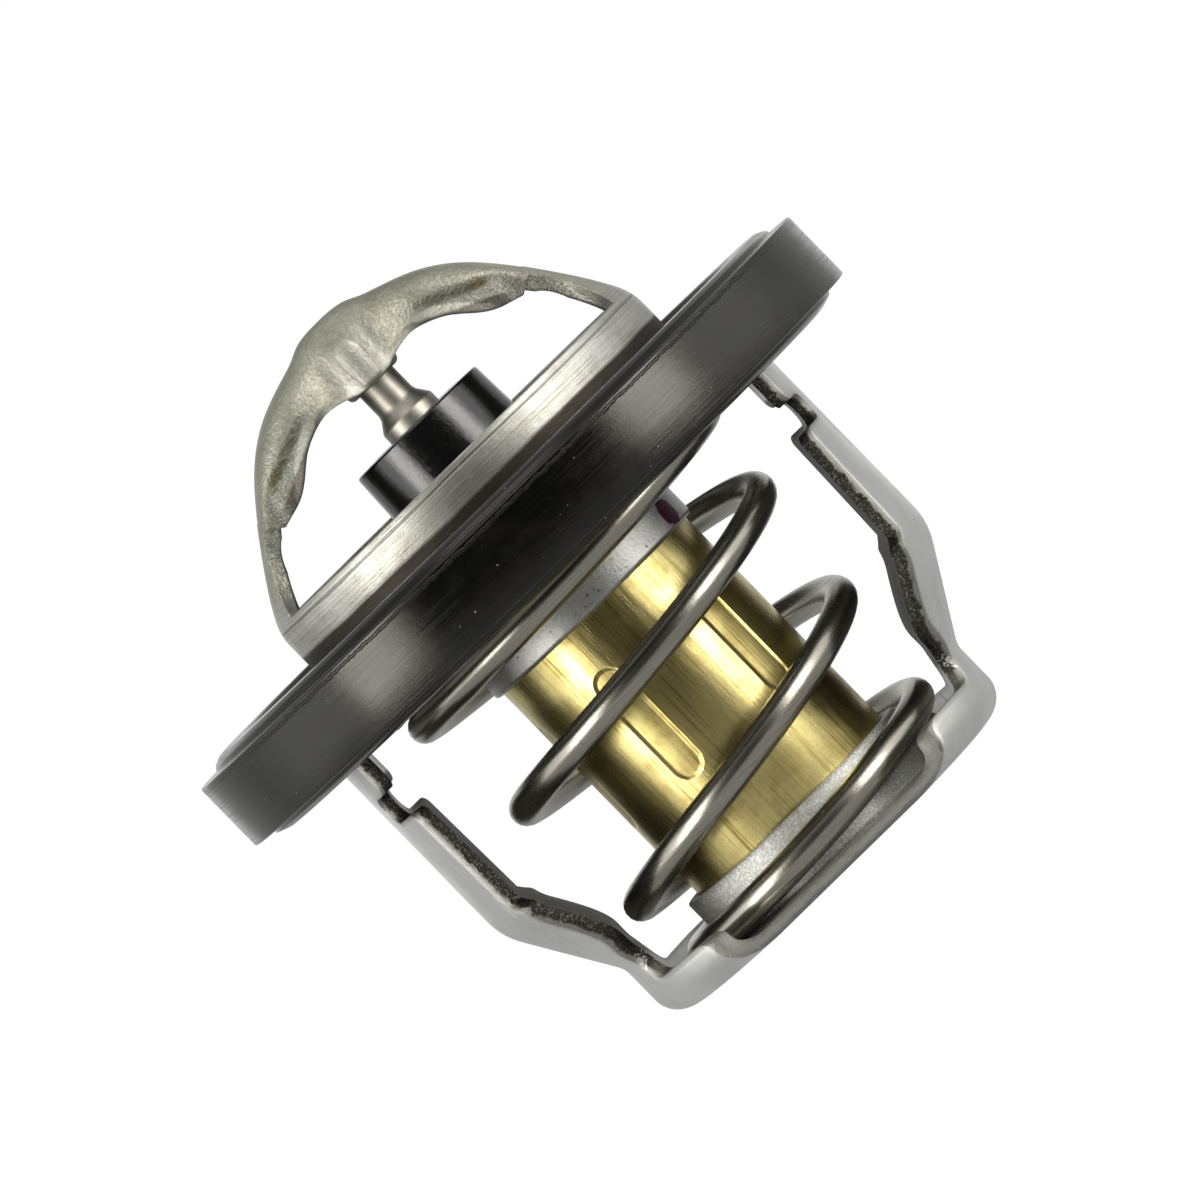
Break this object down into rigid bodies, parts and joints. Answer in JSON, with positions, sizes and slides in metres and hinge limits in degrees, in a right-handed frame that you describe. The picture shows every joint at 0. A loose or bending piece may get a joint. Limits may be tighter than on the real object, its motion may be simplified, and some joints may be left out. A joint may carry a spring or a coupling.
{
  "type": "engine thermostat",
  "caption": "Wax-operated engine coolant valve with a bridged steel frame, moulded rubber rim gasket, tapered closing spring and brass wax capsule.",
  "frame": {"origin": "underside of the lower frame's foot, on the axis of the valve", "axes": "+Z along the valve axis from the foot to the top of the bridge, +X through one arm of the lower frame and one leg of the bridge"},
  "size_m": [0.06, 0.06, 0.055],
  "materials": {
    "frame_steel": "drawn stainless sheet, satin with fine grain",
    "cage_steel": "stamped stainless sheet, bright",
    "spring_steel": "polished spring wire",
    "piston_steel": "ground and polished",
    "guide_steel": "matt grey",
    "capsule_brass": "drawn brass",
    "gasket_rubber": "moulded rubber, satin",
    "cap_plastic": "glossy black",
    "seal_rubber": "matt",
    "backup_plastic": "white sliding plastic",
    "wax": "copper-filled wax"
  },
  "bodies": {
    "housing": {"upper_frame": "frame_steel", "lower_frame": "cage_steel", "rim_gasket": "gasket_rubber", "piston": "piston_steel", "main_spring": "spring_steel"},
    "valve": {"valve_disc": "cage_steel", "valve_retaining_ring": "guide_steel", "element_guide": "guide_steel", "guide_cap": "cap_plastic", "piston_wiper": "seal_rubber", "backup_ring": "backup_plastic", "seal_sleeve": "seal_rubber", "wax_charge": "wax", "wax_capsule": "capsule_brass"}
  },
  "joints": [
    {"name": "valve_lift", "type": "slide", "parent": "housing", "child": "valve", "axis": [0, 0, -1], "range_m": [0, 0.0085], "stiffness_N_per_m": 4200, "springref_m": -0.002, "deforming": ["main_spring"]}
  ]
}
